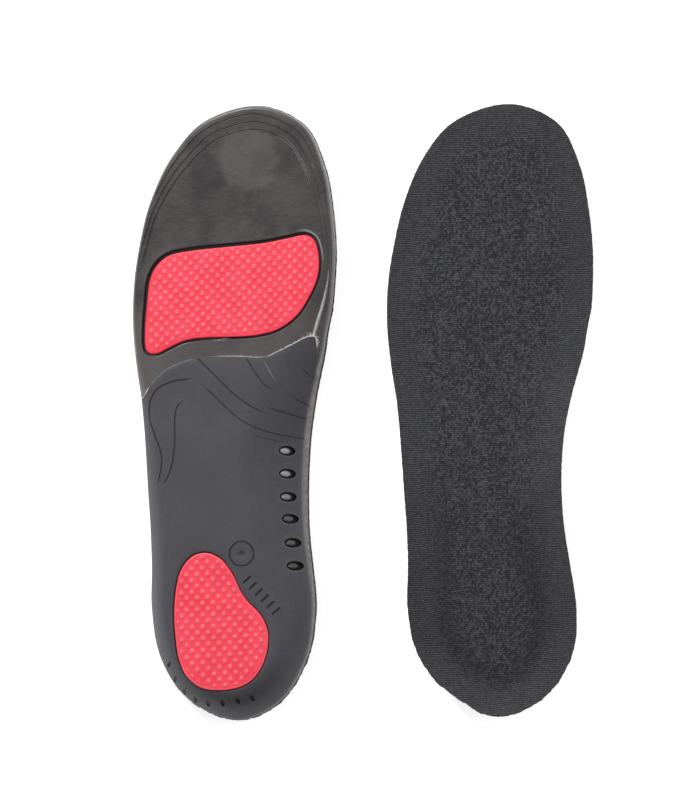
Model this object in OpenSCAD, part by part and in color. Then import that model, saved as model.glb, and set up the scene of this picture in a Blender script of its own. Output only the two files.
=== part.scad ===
// A pair of cushioned shoe insoles. The left one lies cover up, the right one lies sole up.
// Each insole is drawn flat on its sole: X across (the arch side is +X), Y from heel to toe, Z up.

/* [Insole] */
// Length from heel to toe
insole_length = 270; // [243:1:297]
// Width across the ball of the foot
ball_width = 91; // [84:1:98]
// Height of the rim round the heel
heel_rim = 17; // [14:0.5:20]
// Height of the rim at the inner arch
arch_rim = 27.5; // [22:0.5:30]
// Height of the rim round the toes
toe_rim = 5.4; // [4.5:0.1:7]
// Thickness under the middle of the heel
heel_bed = 7.5; // [6:0.5:9]
// Thickness under the toes
toe_bed = 5.4; // [4.5:0.1:6.5]

/* [Layers] */
// Thickness of the knitted top cover
cover_t = 0.9; // [0.6:0.1:1.1]
// Thickness of the heel and arch shell, and of the forefoot skin
sole_t = 1; // [0.6:0.1:1.1]
// Depth of the two gel pads
pad_depth = 2.4; // [1.6:0.1:3]

/* [Arch windows] */
// Width of a window across the insole
window_w = 5.8; // [4:0.1:7]
// Length of a window along the insole
window_l = 4.3; // [3:0.1:5]
// Width of the foam pod in a window
pod_w = 3.7; // [2:0.1:4.5]
// Length of the foam pod in a window
pod_l = 2.6; // [1.5:0.1:3.5]

/* [Lying] */
// Distance across from one insole's middle line to the other's
pair_spacing = 117.8; // [105:0.1:150]
// Roll of the upturned insole, arch side up
right_roll = 11.4; // [10:0.1:13]
// Pitch of the upturned insole, toe down
right_pitch = 3; // [2:0.1:4]
// Turn of the upturned insole, toe outward
right_yaw = 0.8; // [0:0.1:4]

/* [Hidden] */

kx = ball_width / 91;
ky = insole_length / 270;

// The outline's key points from heel to toe, at the design size
heel_tip = [4, 0];
toe_tip = [8.5, 270];
inner_side = [
    [18, 4.5], [29.5, 14.5], [37, 30], [38, 48], [35.4, 66], [32.4, 85], [31.3, 105], [32.6, 125],
    [36.3, 143], [41, 160], [43, 171.3], [44.8, 181], [45.4, 192], [45.3, 207], [43, 225],
    [38.7, 243.5], [29, 261.5]
];
outer_side = [
    [-10, 4.3], [-23.5, 15], [-33, 30], [-36.4, 48], [-36.2, 66], [-36.8, 84], [-38, 100], [-39, 115],
    [-40, 128], [-41.4, 141], [-43.5, 154], [-45.3, 172], [-45, 190], [-42.3, 208], [-37.2, 227],
    [-28.5, 246.5], [-14.5, 262.4]
];
// The key point at each end of the straight line that the insole flexes on, counted from the heel tip
flex_key = 11;
// Half the gap between the rear pieces and the toe pieces, in key points
flex_gap = 0.014;
// Where the cross ribs of the layers stand, in key points from the heel tip
rear_ribs = concat([0.12, 0.35, 0.6, 0.85, 1.15], [for (k = [1.5 : 0.5 : flex_key - 0.5]) k],
                   [flex_key - flex_gap]);
toe_ribs = concat([flex_key + flex_gap], [for (k = [flex_key + 0.5 : 0.5 : 16]) k],
                  [16.4, 16.8, 17.15, 17.4, 17.65, 17.88]);
// Steps across each rib
rib_steps = 12;

// Heights of the rim, [distance from the heel, height]
rim_inner = [[0, heel_rim], [30, heel_rim + 0.5], [65, 0.35 * heel_rim + 0.55 * arch_rim], [105, arch_rim],
             [135, 0.73 * arch_rim], [160, 0.36 * arch_rim], [185, toe_rim + 0.4], [270, toe_rim]];
rim_outer = [[0, heel_rim], [40, heel_rim - 1], [80, heel_rim - 4], [120, heel_rim - 7],
             [150, toe_rim + 2.1], [180, toe_rim + 0.4], [270, toe_rim]];
// Thickness of the insole along its middle, and at its cut edge
bed = [[0, heel_bed], [50, heel_bed], [100, heel_bed + 1], [150, (heel_bed + toe_bed) / 2 + 0.5],
       [185, toe_bed], [270, toe_bed]];
edge = [[0, 3.2], [130, 3.4], [180, 4.2], [270, 4.2]];
// How far in from the edge the sole and the top start to curl up to the rim
sole_curl_inner = [[0, 12], [50, 14], [105, 30], [145, 24], [175, 9], [200, 4], [270, 4]];
sole_curl_outer = [[0, 12], [50, 11], [110, 10], [160, 6], [190, 4], [270, 4]];
top_curl_inner = [[0, 17], [50, 20], [105, 34], [150, 28], [190, 10], [270, 6]];
top_curl_outer = [[0, 17], [50, 16], [100, 14], [160, 10], [270, 6]];
// The heights are averaged over this much either way along the insole
blur = 12;
// The inner and outer heights blend over this much across it
side_blend = 30;

// Key points of the gel pads' outlines and of the shell's front border
forefoot_pad_keys = [
    [31.9, 212.9], [36.4, 210.1], [38.4, 202.7], [38.2, 194.7], [35.2, 186.3], [30, 177.8], [21.6, 171.6],
    [11.8, 168.6], [-0.7, 167.5], [-12, 167.1], [-20.9, 165.7], [-27.6, 162.7], [-33.3, 159.8],
    [-37.4, 160.2], [-39, 164.1], [-39.1, 173.4], [-38.4, 183.1], [-37.3, 192], [-34.3, 198.4],
    [-28.6, 203.1], [-19.6, 205.3], [-3.9, 207.2], [12.6, 209.1], [24.3, 211.5]
];
heel_pad_keys = [
    [-9.2, 72.5], [-2.9, 70.2], [1.3, 65.8], [4.1, 61.4], [6.9, 55.7], [10.6, 50.9], [15.2, 46.6],
    [18.9, 41.3], [20.7, 35.2], [19.7, 27.2], [16.3, 20.6], [10.1, 15.2], [0.3, 12.6], [-9.4, 14.1],
    [-16.3, 19.3], [-20.3, 26.7], [-22.3, 35.5], [-23.2, 45.6], [-22.7, 55.4], [-20.7, 64.2], [-15.9, 70.5]
];
border_keys = [
    [-60, 134], [-41.5, 139.2], [-35.3, 146.1], [-27.4, 153.3], [-14.9, 157.8], [0, 158.9], [14.3, 158.7],
    [21.9, 161.4], [32.9, 165], [43, 165.5], [60, 163]
];
window_centres = [[23.8, 118.3], [23.9, 108.3], [24.4, 98.1], [25.7, 88.4], [27.4, 77.8], [29.1, 67.6]];
// A pod sits a little off its window's middle, towards the outer side
pod_offset = -0.5;

// ---- Curves ----

function spline_point(a, b, c, d, t) =
    0.5 * (2 * b + (c - a) * t + (2 * a - 5 * b + 4 * c - d) * t * t + (3 * b - a - 3 * c + d) * t * t * t);

// A smooth closed curve through key points, with the given steps between them
function closed_curve(keys, steps) = [
    for (i = [0 : len(keys) - 1])
        for (s = [0 : steps - 1])
            spline_point(keys[(i + len(keys) - 1) % len(keys)], keys[i], keys[(i + 1) % len(keys)],
                         keys[(i + 2) % len(keys)], s / steps)
];

// A smooth open curve through all key points but the first and the last
function open_curve(keys, steps) = [
    for (i = [1 : len(keys) - 3])
        for (s = [0 : steps - (i < len(keys) - 3 ? 1 : 0)])
            spline_point(keys[i - 1], keys[i], keys[i + 1], keys[i + 2], s / steps)
];

function backwards(list) = [for (i = [len(list) - 1 : -1 : 0]) list[i]];
function sized(points) = [for (p = points) [p[0] * kx, p[1] * ky]];
function ellipse_points(centre, w, l) = [
    for (a = [0 : 15 : 345]) [centre[0] * kx + w / 2 * cos(a), centre[1] * ky + l / 2 * sin(a)]
];

// Each side's line from heel tip to toe tip, with one point before and one after
inner_line = concat([outer_side[0]], [heel_tip], inner_side, [toe_tip], [outer_side[16]]);
outer_line = concat([inner_side[0]], [heel_tip], outer_side, [toe_tip], [inner_side[16]]);
function along(line, key) =
    let (i = min(floor(key), 17))
        spline_point(line[i], line[i + 1], line[i + 2], line[i + 3], key - i);

outline = closed_curve(concat([heel_tip], inner_side, [toe_tip], backwards(outer_side)), 2);

// ---- Heights ----

function averaged(table, y) =
    (lookup(y - blur, table) + lookup(y - blur / 2, table) + lookup(y, table)
     + lookup(y + blur / 2, table) + lookup(y + blur, table)) / 5;

// The nearest point of the outline to p, as [distance, point]
function nearest_on_edge(p, a, b) =
    let (t = min(1, max(0, (p - a) * (b - a) / ((b - a) * (b - a)))), q = a + t * (b - a))
        [norm(p - q), q];
function nearest_on_outline(p) =
    let (
        all = [for (i = [0 : len(outline) - 1])
            nearest_on_edge(p, outline[i], outline[(i + 1) % len(outline)])],
        least = min([for (n = all) n[0]])
    )
        [for (n = all) if (n[0] == least) n][0];

// Blends an inner table and an outer table by the place across
function blended(inner, outer, q) =
    let (s = min(1, max(0, 0.5 + (q[0] - 4) / side_blend)), w = s * s * (3 - 2 * s))
        w * averaged(inner, q[1]) + (1 - w) * averaged(outer, q[1]);

// Heights of the sole's face and of the cover's face at p, where on_rim is true at the cut edge
function faces_at(p, on_rim) =
    let (
        near = nearest_on_outline(p),
        q = near[1],
        d = on_rim ? 0 : near[0],
        rim = blended(rim_inner, rim_outer, q),
        curl_sole = max(0, 1 - d / blended(sole_curl_inner, sole_curl_outer, q)),
        curl_top = max(0, 1 - d / blended(top_curl_inner, top_curl_outer, q)),
        middle = averaged(bed, p[1])
    )
        [(rim - averaged(edge, q[1])) * curl_sole * curl_sole, middle + (rim - middle) * curl_top * curl_top];

// One point across a rib, closer together near the two edges
function rib_point(key, step) =
    let (a = along(outer_line, key), b = along(inner_line, key))
        a + (b - a) * (1 - cos(180 * step / rib_steps)) / 2;

// The grid of [x, y, sole height, cover height] for a list of ribs
function grid(ribs) = [
    for (key = ribs)
        for (step = [0 : rib_steps])
            let (p = rib_point(key, step), z = faces_at(p, step == 0 || step == rib_steps))
                [p[0] * kx, p[1] * ky, z[0], z[1]]
];

// A solid between two faces: each is [share of the cover's height, offset], the rest is the sole's height
module layer(ribs, low, high) {
    g = grid(ribs);
    cols = rib_steps + 1;
    n = len(g);
    rows = len(ribs);
    points = [
        for (face = [low, high])
            for (p = g) [p[0], p[1], p[2] * (1 - face[0]) + p[3] * face[0] + face[1]]
    ];
    cells = [for (i = [0 : rows - 2]) for (j = [0 : cols - 2]) i * cols + j];
    faces = concat(
        [for (a = cells) [a, a + 1, a + cols + 1]],
        [for (a = cells) [a, a + cols + 1, a + cols]],
        [for (a = cells) [n + a, n + a + cols + 1, n + a + 1]],
        [for (a = cells) [n + a, n + a + cols, n + a + cols + 1]],
        [for (a = [0 : cols - 2]) [a, n + a, n + a + 1]],
        [for (a = [0 : cols - 2]) [a, n + a + 1, a + 1]],
        [for (a = [n - cols : n - 2]) [a, n + a + 1, n + a]],
        [for (a = [n - cols : n - 2]) [a, a + 1, n + a + 1]],
        [for (a = [0 : cols : n - 2 * cols]) [a, n + a + cols, n + a]],
        [for (a = [0 : cols : n - 2 * cols]) [a, a + cols, n + a + cols]],
        [for (a = [cols - 1 : cols : n - cols - 1]) [a, n + a, n + a + cols]],
        [for (a = [cols - 1 : cols : n - cols - 1]) [a, n + a + cols, a + cols]]
    );
    polyhedron(points, faces);
}

module cover_layer(ribs) { layer(ribs, [1, -cover_t], [1, 0]); }
module foam_layer(ribs) { layer(ribs, [0, sole_t], [1, -cover_t]); }
module sole_layer(ribs) { layer(ribs, [0, 0], [0, sole_t]); }

// ---- Cuts ----

module forefoot_pad_column(low, high) {
    translate([0, 0, low])
        linear_extrude(high - low) polygon(sized(closed_curve(forefoot_pad_keys, 3)));
}

module heel_pad_column(low, high) {
    translate([0, 0, low])
        linear_extrude(high - low) polygon(sized(closed_curve(heel_pad_keys, 3)));
}

// Everything behind the shell's front border
module shell_region() {
    translate([0, 0, -1])
        linear_extrude(arch_rim + 5)
            polygon(concat(sized(open_curve(border_keys, 3)), [[60, 163], [60, -10], [-60, -10], [-60, 134]]));
}

module arch_columns(w, l, shift) {
    for (c = window_centres)
        translate([0, 0, -1])
            linear_extrude(arch_rim + 5) polygon(ellipse_points([c[0] + shift, c[1]], w, l));
}

// ---- Sub-parts ----

module top_cover_rear() { color("#3f3f42") cover_layer(rear_ribs); }
module top_cover_toe() { color("#3f3f42") cover_layer(toe_ribs); }

module foam_bed_rear() {
    color("#8c8580")
        difference() {
            foam_layer(rear_ribs);
            heel_pad_column(-1, pad_depth);
        }
}

module foam_bed_toe() {
    color("#8c8580")
        difference() {
            foam_layer(toe_ribs);
            forefoot_pad_column(-1, pad_depth);
        }
}

module arch_heel_shell() {
    color("#545259")
        difference() {
            intersection() {
                sole_layer(rear_ribs);
                shell_region();
            }
            heel_pad_column(-1, pad_depth);
            arch_columns(window_w, window_l, 0);
        }
}

module forefoot_skin_rear() {
    color("#504c50")
        difference() {
            sole_layer(rear_ribs);
            shell_region();
        }
}

module forefoot_skin_toe() {
    color("#504c50")
        difference() {
            sole_layer(toe_ribs);
            forefoot_pad_column(-1, pad_depth);
        }
}

module forefoot_gel_pad() { color("#f35768") forefoot_pad_column(0, pad_depth); }
module heel_gel_pad() { color("#f45e6f") heel_pad_column(0, pad_depth); }

module arch_pods() {
    color("#b5b3b2")
        intersection() {
            sole_layer(rear_ribs);
            arch_columns(pod_w, pod_l, pod_offset);
        }
}

// ---- Places of the two insoles ----

// Turns a point of the upturned insole: mirrored to lie sole up, then pitched, rolled and turned
function pitched(p) = [p[0], p[1] * cos(right_pitch) + p[2] * sin(right_pitch),
                       p[2] * cos(right_pitch) - p[1] * sin(right_pitch)];
function rolled(p) = [p[0] * cos(right_roll) - p[2] * sin(right_roll), p[1],
                      p[2] * cos(right_roll) + p[0] * sin(right_roll)];
function turned(p) = [p[0] * cos(right_yaw) + p[1] * sin(right_yaw),
                      p[1] * cos(right_yaw) - p[0] * sin(right_yaw), p[2]];
function upturned(p) = turned(rolled(pitched([p[0], p[1], -p[2]])));

rim_points = [for (p = outline) let (z = faces_at(p, true)) [p[0] * kx, p[1] * ky, z[1]]];
edge_points = [for (p = outline) let (z = faces_at(p, true)) [p[0] * kx, p[1] * ky, z[0]]];
left_points = concat(rim_points, edge_points);
right_points = [for (p = left_points) upturned(p)];
right_lift = -min([for (p = right_points) p[2]]);
low_x = min([for (p = right_points) p[0] - pair_spacing]);
high_x = max([for (p = left_points) p[0]]);
low_y = min(min([for (p = left_points) p[1]]), min([for (p = right_points) p[1]]));
high_y = max(max([for (p = left_points) p[1]]), max([for (p = right_points) p[1]]));
// Where the left insole's heel point stands, with the pair's middle at the origin
left_place = [-(low_x + high_x) / 2, -(low_y + high_y) / 2, 0];
right_place = left_place + [-pair_spacing, 0, right_lift];

module left() { translate(left_place) children(); }
module right() {
    translate(right_place)
        rotate([-right_pitch, -right_roll, -right_yaw])
            mirror([0, 0, 1]) children();
}

left() top_cover_rear();  // left_top_cover_rear
left() top_cover_toe();  // left_top_cover_toe
left() foam_bed_rear();  // left_foam_bed_rear
left() foam_bed_toe();  // left_foam_bed_toe
left() arch_heel_shell();  // left_arch_heel_shell
left() forefoot_skin_rear();  // left_forefoot_skin_rear
left() forefoot_skin_toe();  // left_forefoot_skin_toe
left() forefoot_gel_pad();  // left_forefoot_gel_pad
left() heel_gel_pad();  // left_heel_gel_pad
left() arch_pods();  // left_arch_pods
right() top_cover_rear();  // right_top_cover_rear
right() top_cover_toe();  // right_top_cover_toe
right() foam_bed_rear();  // right_foam_bed_rear
right() foam_bed_toe();  // right_foam_bed_toe
right() arch_heel_shell();  // right_arch_heel_shell
right() forefoot_skin_rear();  // right_forefoot_skin_rear
right() forefoot_skin_toe();  // right_forefoot_skin_toe
right() forefoot_gel_pad();  // right_forefoot_gel_pad
right() heel_gel_pad();  // right_heel_gel_pad
right() arch_pods();  // right_arch_pods
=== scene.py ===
"""Looks of a pair of cushioned insoles: the left one lies cover up, the right one sole up."""

import math

import bpy
import numpy as np
from mathutils import Matrix, Vector
from mathutils.geometry import delaunay_2d_cdt
from mathutils.kdtree import KDTree


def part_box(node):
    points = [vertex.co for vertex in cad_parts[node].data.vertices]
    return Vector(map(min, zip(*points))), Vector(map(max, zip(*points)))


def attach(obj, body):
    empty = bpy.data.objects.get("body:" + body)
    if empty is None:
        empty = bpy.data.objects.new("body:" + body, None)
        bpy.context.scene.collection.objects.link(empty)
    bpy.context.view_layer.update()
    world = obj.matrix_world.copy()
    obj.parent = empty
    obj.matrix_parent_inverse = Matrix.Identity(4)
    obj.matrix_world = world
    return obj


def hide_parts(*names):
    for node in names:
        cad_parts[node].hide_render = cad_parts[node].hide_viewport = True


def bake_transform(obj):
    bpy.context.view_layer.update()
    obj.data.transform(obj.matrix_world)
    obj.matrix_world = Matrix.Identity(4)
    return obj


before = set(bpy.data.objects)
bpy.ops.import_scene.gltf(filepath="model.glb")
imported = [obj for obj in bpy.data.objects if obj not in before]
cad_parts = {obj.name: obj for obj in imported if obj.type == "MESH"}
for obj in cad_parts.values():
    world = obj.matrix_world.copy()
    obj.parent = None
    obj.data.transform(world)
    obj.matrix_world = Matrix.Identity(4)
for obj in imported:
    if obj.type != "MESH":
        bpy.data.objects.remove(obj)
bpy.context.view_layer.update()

MM = 0.001
RNG = np.random.default_rng(7)

# ---- The insole's shape in its own frame, in millimetres: X across (arch side +),
# Y from heel to toe, Z up from the sole. It repeats the CAD model's design. ----

HEEL_TIP = [(4, 0)]
TOE_TIP = [(8.5, 270)]
INNER_SIDE = [
    (18, 4.5), (29.5, 14.5), (37, 30), (38, 48), (35.4, 66), (32.4, 85), (31.3, 105), (32.6, 125),
    (36.3, 143), (41, 160), (43, 171.3), (44.8, 181), (45.4, 192), (45.3, 207), (43.4, 225),
    (39.4, 243.5), (29.7, 261.8),
]
OUTER_SIDE = [
    (-10, 4.3), (-23.5, 15), (-33, 30), (-36.4, 48), (-36.2, 66), (-36.8, 84), (-38, 100), (-39, 115),
    (-40, 128), (-41.4, 141), (-43.5, 154), (-45.3, 172), (-45, 190), (-42.3, 208), (-37.7, 227),
    (-29.2, 246.7), (-15.2, 262.7),
]
BALL_PAD = [
    (31.9, 212.9), (36.4, 210.1), (38.4, 202.7), (38.2, 194.7), (35.2, 186.3), (30, 177.8), (21.6, 171.6),
    (11.8, 168.6), (-0.7, 167.5), (-12, 167.1), (-20.9, 165.7), (-27.6, 162.7), (-33.3, 159.8),
    (-37.4, 160.2), (-39, 164.1), (-39.1, 173.4), (-38.4, 183.1), (-37.3, 192), (-34.3, 198.4),
    (-28.6, 203.1), (-19.6, 205.3), (-3.9, 207.2), (12.6, 209.1), (24.3, 211.5),
]
HEEL_PAD = [
    (-9.2, 72.5), (-2.9, 70.2), (1.3, 65.8), (4.1, 61.4), (6.9, 55.7), (10.6, 50.9), (15.2, 46.6),
    (18.9, 41.3), (20.7, 35.2), (19.7, 27.2), (16.3, 20.6), (10.1, 15.2), (0.3, 12.6), (-9.4, 14.1),
    (-16.3, 19.3), (-20.3, 26.7), (-22.3, 35.5), (-23.2, 45.6), (-22.7, 55.4), (-20.7, 64.2), (-15.9, 70.5),
]
BORDER = [
    (-60, 134), (-41.5, 139.2), (-35.3, 146.1), (-27.4, 153.3), (-14.9, 157.8), (0, 158.9), (14.3, 158.7),
    (21.9, 161.6), (29.7, 165.4), (34.1, 167.6), (37.4, 168.2), (38.3, 165.6), (37.8, 158.5), (36.8, 154.2),
    (38, 151.5), (44, 149.5), (60, 147),
]
WINDOWS = [(23.8, 118.3), (23.9, 108.3), (24.4, 98.1), (25.7, 88.4), (27.4, 77.8), (29.1, 67.6)]
WINDOW_SIZE = (6.2, 4.3)
# The domes stand towards the outer side of their windows, on dishes that reach under the windows' edges
POD_SIZE = (3.7, 2.7)
POD_SHIFT = -1.0
POD_RIM = 1.6
# How dark each dome is painted, as lit or shaded, from the arch's top to its bottom: 0 is bright, 1 dark
POD_SHADING = (0.08, 0.18, 0.5, 0.9, 0.95, 1.0)

# Heights by distance from the heel: rim, middle, cut edge, and how far in the faces start to curl up
HEEL_RIM = 17
ARCH_RIM = 27.5
TOE_RIM = 5.4
HEEL_BED = 7.5
RIM_INNER = [(0, HEEL_RIM), (30, HEEL_RIM + 0.5), (65, 0.35 * HEEL_RIM + 0.55 * ARCH_RIM), (105, ARCH_RIM),
             (135, 0.73 * ARCH_RIM), (160, 0.36 * ARCH_RIM), (185, TOE_RIM + 0.4), (270, TOE_RIM)]
RIM_OUTER = [(0, HEEL_RIM), (40, HEEL_RIM - 1), (80, HEEL_RIM - 4), (120, HEEL_RIM - 7),
             (150, TOE_RIM + 2.1), (180, TOE_RIM + 0.4), (270, TOE_RIM)]
MIDDLE = [(0, HEEL_BED), (50, HEEL_BED), (100, HEEL_BED + 1), (150, (HEEL_BED + TOE_RIM) / 2 + 0.5),
          (185, TOE_RIM), (270, TOE_RIM)]
EDGE = [(0, 3.2), (130, 3.4), (180, 4.2), (270, 4.2)]
SOLE_CURL_INNER = [(0, 12), (50, 14), (105, 30), (145, 24), (175, 9), (200, 3), (270, 2)]
SOLE_CURL_OUTER = [(0, 12), (50, 11), (110, 10), (160, 6), (190, 3), (270, 2)]
TOP_CURL_INNER = [(0, 17), (50, 20), (105, 34), (150, 28), (190, 10), (270, 6)]
TOP_CURL_OUTER = [(0, 17), (50, 16), (100, 14), (160, 10), (270, 6)]
# How far the tables' corners are smoothed along the insole, and how wide the two sides' heights blend
BLUR = 12
SIDE_BLEND = 30
# How softly a face starts to curl up
CURL_EASE = 0.16

# Layers
COVER_T = 0.9
SOLE_T = 1.0
PAD_DEPTH = 2.4
# The raised dots' tips stand at the sole's plane, and the pads' faces this far inside it
PAD_SINK = 0.3
# How far the sole layers' edge stands in from the cover's edge, where the foam is trimmed at a slant
TRIM_IN_INNER = [(0, 0.5), (40, 0.7), (80, 1.4), (110, 1.9), (148, 1.8), (158, 0.5), (210, 0.3), (270, 0.3)]
TRIM_IN_OUTER = [(0, 0.5), (100, 0.4), (270, 0.3)]
# How far the foam's side stands in from the cover's cut edge
FOAM_IN = 0.5
# The forefoot film wraps the side from this far in
WRAP = 1.3

# Lying of the upturned insole, in degrees
RIGHT_ROLL = 11.4
RIGHT_PITCH = 3
RIGHT_YAW = 0.8

# How much further out than the design the right insole is cut: round the heel by the angle from straight
# back (degrees, positive to the inner side), and along the forefoot's two sides
RIGHT_HEEL_CUT = [(-150, 0), (-120, -0.5), (-90, -0.8), (-65, -0.3), (-45, 1.05), (-20, 2), (0, 0.8),
                  (12, 0.5), (28, 0.9), (42, -0.3), (57, -1.4), (85, -1.4), (106, 0), (120, 0)]
RIGHT_OUTER_CUT = [(190, 0), (208, 0.9), (235, 0.9), (250, 0)]
RIGHT_INNER_CUT = [(138, 0), (150, -0.8), (182, -0.9), (200, 0)]


def curve(keys, steps, closed=True):
    """A smooth curve through key points. An open one starts and ends one key point inside the list."""
    k = np.asarray(keys, float)
    n = len(k)
    first, last = (0, n) if closed else (1, n - 2)
    t = (np.arange(steps) / steps)[:, None]
    out = []
    for i in range(first, last):
        a, b, c, d = k[(i - 1) % n], k[i % n], k[(i + 1) % n], k[(i + 2) % n]
        out.append(0.5 * (2 * b + (c - a) * t + (2 * a - 5 * b + 4 * c - d) * t**2
                          + (3 * b - a - 3 * c + d) * t**3))
    if not closed:
        out.append(k[n - 2][None])
    return np.vstack(out)


def through(keys, steps=8):
    """A smooth open curve through every key point."""
    k = [np.array(p, float) for p in keys]
    return curve([2 * k[0] - k[1], *k, 2 * k[-1] - k[-2]], steps, closed=False)


def respaced(line, gap, closed):
    """The same line with points an even distance apart."""
    pts = np.vstack([line, line[:1]]) if closed else line
    run = np.r_[0, np.cumsum(np.linalg.norm(np.diff(pts, axis=0), axis=1))]
    count = max(3, int(round(run[-1] / gap)))
    at = np.linspace(0, run[-1], count, endpoint=False) if closed else np.linspace(0, run[-1], count + 1)
    return np.c_[np.interp(at, run, pts[:, 0]), np.interp(at, run, pts[:, 1])]


def normals_of(line, closed):
    """Unit normals on the left-hand side of a line's direction."""
    if closed:
        d = np.roll(line, -1, 0) - np.roll(line, 1, 0)
    else:
        d = np.gradient(line, axis=0)
    d /= np.linalg.norm(d, axis=1)[:, None]
    return np.c_[-d[:, 1], d[:, 0]]


def shifted(line, by, closed=True):
    return line + normals_of(line, closed) * np.asarray(by, float).reshape(-1, 1)


def closest_index(points, line):
    """For each point, the number of the line's closest point."""
    tree = KDTree(len(line))
    for i, (x, y) in enumerate(line.tolist()):
        tree.insert((x, y, 0), i)
    tree.balance()
    return np.array([tree.find((x, y, 0))[1] for x, y in points.tolist()])


def nearest(points, line, closed=True):
    """For each point: the distance to the line, and the nearest point on it."""
    k = closest_index(points, line)
    last = len(line) - 1
    best = np.full(len(points), np.inf)
    foot = line[k].copy()
    for step in (-1, 1):
        other = (k + step) % len(line) if closed else np.clip(k + step, 0, last)
        a, d = line[k], line[other] - line[k]
        t = np.clip(((points - a) * d).sum(1) / np.maximum((d * d).sum(1), 1e-12), 0, 1)
        q = a + t[:, None] * d
        r = np.linalg.norm(points - q, axis=1)
        nearer = r < best
        best[nearer] = r[nearer]
        foot[nearer] = q[nearer]
    return best, foot


def inside(points, loop):
    a, b = loop, np.roll(loop, -1, 0)
    hit = np.zeros(len(points), bool)
    for (ax, ay), (bx, by) in zip(a, b):
        if ay == by:
            continue
        cross = ((ay > points[:, 1]) != (by > points[:, 1]))
        hit ^= cross & (points[:, 0] < (bx - ax) * (points[:, 1] - ay) / (by - ay) + ax)
    return hit


def signed(points, loop):
    """Distance to a loop, negative inside it."""
    d = nearest(points, loop)[0]
    return np.where(inside(points, loop), -d, d)


def table(keys, at):
    k = np.array(keys, float)
    return sum(np.interp(at + o, k[:, 0], k[:, 1]) for o in (-BLUR, -BLUR / 2, 0, BLUR / 2, BLUR)) / 5


def smooth(x, low=0.0, high=1.0):
    t = np.clip((x - low) / (high - low), 0, 1)
    return t * t * (3 - 2 * t)


def by_side(inner, outer, foot):
    w = smooth(0.5 + (foot[:, 0] - 4) / SIDE_BLEND)
    return w * table(inner, foot[:, 1]) + (1 - w) * table(outer, foot[:, 1])


OUTLINE = curve(HEEL_TIP + INNER_SIDE + TOE_TIP + OUTER_SIDE[::-1], 8)
BALL_LOOP = respaced(curve(BALL_PAD, 8)[::-1], 0.7, True)
HEEL_LOOP = respaced(curve(HEEL_PAD, 8)[::-1], 0.7, True)
BORDER_LINE = respaced(curve(BORDER, 8, closed=False), 0.6, False)
SHELL_REGION = np.vstack([[(-60, 134)], BORDER_LINE, [(60, -10), (-60, -10)]])


def curl(d, reach):
    """1 at the edge, easing to 0 at about the reach in from it."""
    v = 1 - d / reach
    return ((v + np.sqrt(v * v + CURL_EASE**2)) / (1 + math.sqrt(1 + CURL_EASE**2))) ** 2


def faces_at(points):
    """Heights of the sole's face and the cover's face, the distance in from the edge, and the edge point."""
    d, foot = nearest(points, OUTLINE)
    rim = by_side(RIM_INNER, RIM_OUTER, foot)
    curl_sole = curl(d, by_side(SOLE_CURL_INNER, SOLE_CURL_OUTER, foot))
    curl_top = curl(d, by_side(TOP_CURL_INNER, TOP_CURL_OUTER, foot))
    middle = table(MIDDLE, points[:, 1])
    return (rim - table(EDGE, foot[:, 1])) * curl_sole, middle + (rim - middle) * curl_top, d, foot


# The sole layers' own edge, a little inside the outline (the outline runs anticlockwise)
TRIM = by_side(TRIM_IN_INNER, TRIM_IN_OUTER, OUTLINE)
SOLE_EDGE = respaced(shifted(OUTLINE, TRIM), 0.8, True)
COVER_EDGE = respaced(OUTLINE, 0.8, True)

# ---- Engraved and raised detail: each line is (key points, half width, depth) ----

SHELL_LINES = [
    ([(-15.4, 147.9), (-19.5, 148.6), (-25.9, 147.5), (-32.5, 144.4), (-36.1, 138.2), (-36.1, 131.2),
      (-34, 125), (-31, 117.9), (-30, 112.2), (-31.3, 104.3), (-33.3, 100.8)], 0.34, 0.34),
    ([(-18.9, 139), (-21.4, 138.4), (-23.6, 136.5), (-24.6, 131.4), (-24.3, 122.5), (-24.7, 115.8),
      (-25.8, 109.2), (-28, 103.8), (-30.5, 100.7)], 0.34, 0.32),
    ([(-13.2, 146.6), (-7.5, 141.8), (-1.2, 136), (4.4, 131.4), (11.3, 127.9), (21, 125.1), (30.6, 123.9),
      (38.5, 123)], 0.32, 0.28),
    ([(-17.6, 160.4), (-14, 157), (-7.8, 151.1), (-1.5, 145.2), (4.2, 140.4), (11.6, 135.9), (16.9, 133.9)],
     0.34, 0.32),
    ([(8.5, 125.2), (16.8, 122.9), (25.2, 121.2)], 0.3, 0.2),
    ([(5.6, 160.9), (7, 158.1), (10.9, 152.1), (14.9, 147.1), (20, 143.2)], 0.32, 0.3),
    ([(14.9, 137.1), (24.4, 134.5), (31.7, 132.6), (38.6, 130.9)], 0.32, 0.3),
    ([(24.2, 143.6), (28.7, 140.7), (32.1, 138.8), (40, 134.4)], 0.32, 0.3),
    ([(30.4, 155.3), (35.2, 151), (39.6, 147)], 0.32, 0.28),
]
# A light scratch on the shell, and half its width
SCRATCH = ([(13.7, 158.6), (17.3, 153), (20.9, 147.2)], 0.28)
# A plain ring with a dimple in its middle; lines and dimples are (half width, depth)
RING_CENTRE = (6.9, 72.1)
RING_RADIUS = 5.4
RING_LINE = (0.42, 0.4)
RING_DIMPLE = (1.5, 0.35)
# A row of plain bars between two points stands for the marking beside the heel pad
BARS_FROM = (9.6, 60.8)
BARS_TO = (23.2, 47.2)
BAR_COUNT = 6
BAR_LENGTH = 3.7
BAR_LINE = (0.5, 0.5)
HEEL_MIDDLE = np.array([-3.0, 42.0])
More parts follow.
